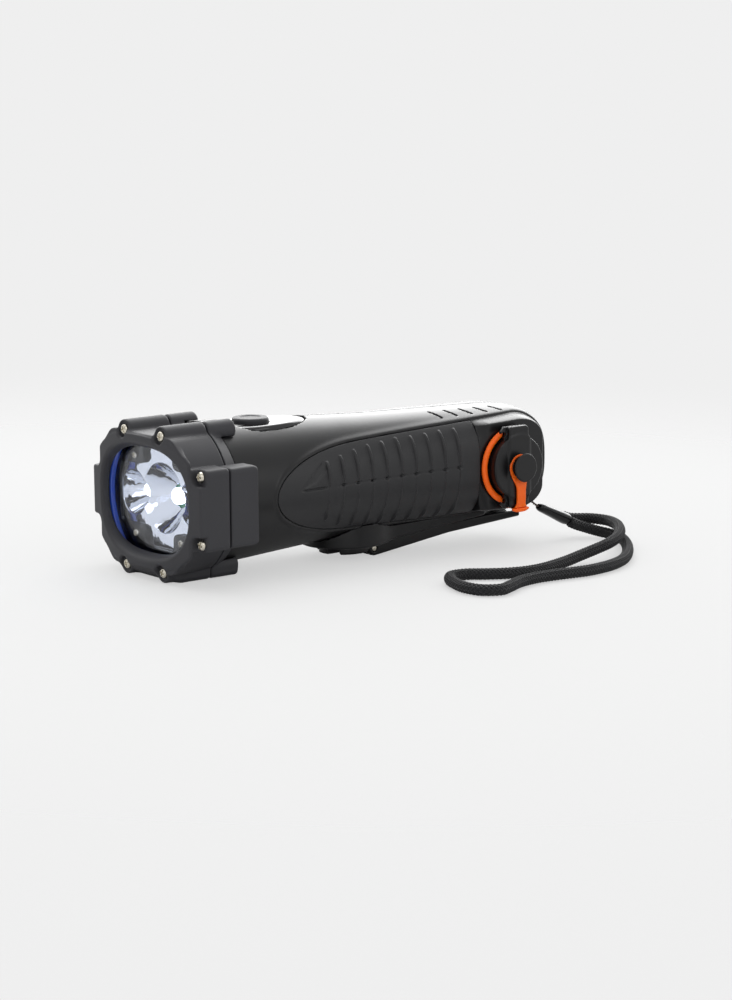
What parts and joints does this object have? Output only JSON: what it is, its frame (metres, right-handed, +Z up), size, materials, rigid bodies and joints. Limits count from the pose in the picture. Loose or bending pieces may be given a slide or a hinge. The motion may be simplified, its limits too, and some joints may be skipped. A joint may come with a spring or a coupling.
{
  "type": "crank_flashlight",
  "caption": "Hand-cranked torch with a rounded rectangular three-lamp head, ribbed grips, a fold-out charging crank, a side charging port under an orange-strapped cap and a braided wrist strap.",
  "frame": {"origin": "middle of the floor rectangle under the torch without its wrist strap; the floor is z = 0", "axes": "+X runs from the lamp face back to the tail, +Y is the left side seen from behind the lamp, +Z is up; the torch leans 2 degrees nose-down on its rests"},
  "size_m": [0.2249, 0.1409, 0.0622],
  "materials": {
    "shell_plastic": "satin moulded shell with a soft-touch coat",
    "cap_plastic": "satin moulded",
    "face_plastic": "satin moulded",
    "grip_rubber": "matte overmoulded grip",
    "gloss_plastic": "polished",
    "orange_rubber": "soft silicone",
    "clear_lens": "clear moulded window",
    "blue_seal": "soft seal",
    "reflector_mirror": "vacuum-metallised",
    "led_white": "clear lens over a lit die",
    "steel": "nickel-plated",
    "rotor_brass": "turned",
    "board_green": "solder mask",
    "gear_nylon": "natural nylon",
    "cell_wrap": "shrink wrap",
    "cord_fabric": "braided polyester"
  },
  "bodies": {
    "torch": {"bezel": "face_plastic", "head_collar": "shell_plastic", "bezel_screw_top_left": "steel", "bezel_screw_top_right": "steel", "bezel_screw_bottom_left": "steel", "bezel_screw_bottom_right": "steel", "bezel_screw_left_upper": "steel", "bezel_screw_left_lower": "steel", "bezel_screw_right_upper": "steel", "bezel_screw_right_lower": "steel", "lens": "clear_lens", "lens_gasket": "blue_seal", "reflector_mask": "gloss_plastic", "reflector": "reflector_mirror", "reflector_screw_1": "steel", "reflector_screw_2": "steel", "reflector_screw_3": "steel", "reflector_screw_4": "steel", "led_board": "board_green", "led_center": "led_white", "led_left": "led_white", "led_right": "led_white", "body_shell_right": "shell_plastic", "body_shell_left": "shell_plastic", "grip_right": "grip_rubber", "grip_left": "grip_rubber", "body_screw_front": "steel", "body_screw_middle": "steel", "body_screw_rear": "steel", "button_plate": "gloss_plastic", "power_switch": "gloss_plastic", "main_board": "board_green", "battery": "cell_wrap", "battery_cradle": "gear_nylon", "crank_base": "shell_plastic", "gear_tray": "gear_nylon", "gear_plate": "gear_nylon", "idler_axle": "steel", "generator_can": "steel", "port_tray": "gloss_plastic", "usb_socket": "steel", "charge_socket": "steel", "port_board": "board_green", "port_gasket": "orange_rubber", "strap_foot": "orange_rubber", "strap_pin": "steel", "strap_string": "cord_fabric", "strap_ferrule": "gloss_plastic", "wrist_cord": "cord_fabric"},
    "button": {"power_button": "gloss_plastic"},
    "crank": {"crank_hub": "shell_plastic", "crank_gear": "gear_nylon"},
    "idler": {"idler_gear": "gear_nylon"},
    "rotor": {"generator_rotor": "rotor_brass"},
    "arm": {"crank_arm": "shell_plastic", "hinge_pin": "steel", "knob_pin": "steel"},
    "knob": {"crank_knob": "gloss_plastic"},
    "cap": {"port_cap": "cap_plastic", "port_strap": "orange_rubber"}
  },
  "joints": [
    {"name": "power_button", "type": "slide", "parent": "torch", "child": "button", "axis": [0.0348, 0, -0.9994], "range_m": [0, 0.0006], "stiffness_N_per_m": 3000, "springref_m": -0.0003},
    {"name": "crank_spin", "type": "hinge", "parent": "torch", "child": "crank", "pos_m": [0.00309, 0, 0.00622], "axis": [-0.0348, 0, 0.9994], "range_deg": [-150, 150]},
    {"name": "idler_spin", "type": "hinge", "parent": "torch", "child": "idler", "pos_m": [0.0217, 0, 0.02487], "axis": [-0.0348, 0, 0.9994], "range_deg": [-600, 600]},
    {"name": "rotor_spin", "type": "hinge", "parent": "torch", "child": "rotor", "pos_m": [0.03902, 0, 0.03048], "axis": [-0.0348, 0, 0.9994], "range_deg": [-2400, 2400]},
    {"name": "crank_arm_fold", "type": "hinge", "parent": "crank", "child": "arm", "pos_m": [0.01421, 0, 0.00295], "axis": [0, 1, 0], "range_deg": [0, 180]},
    {"name": "crank_knob_spin", "type": "hinge", "parent": "arm", "child": "knob", "pos_m": [0.08341, 0, 0.01271], "axis": [-0.0348, 0, 0.9994], "continuous": true},
    {"name": "port_cap_pull", "type": "slide", "parent": "torch", "child": "cap", "axis": [0, -1, 0], "range_m": [0, 0.012]}
  ],
  "couplings": [
    {"joint": "idler_spin", "follows": "crank_spin", "ratio": -4},
    {"joint": "rotor_spin", "follows": "crank_spin", "ratio": 16}
  ]
}
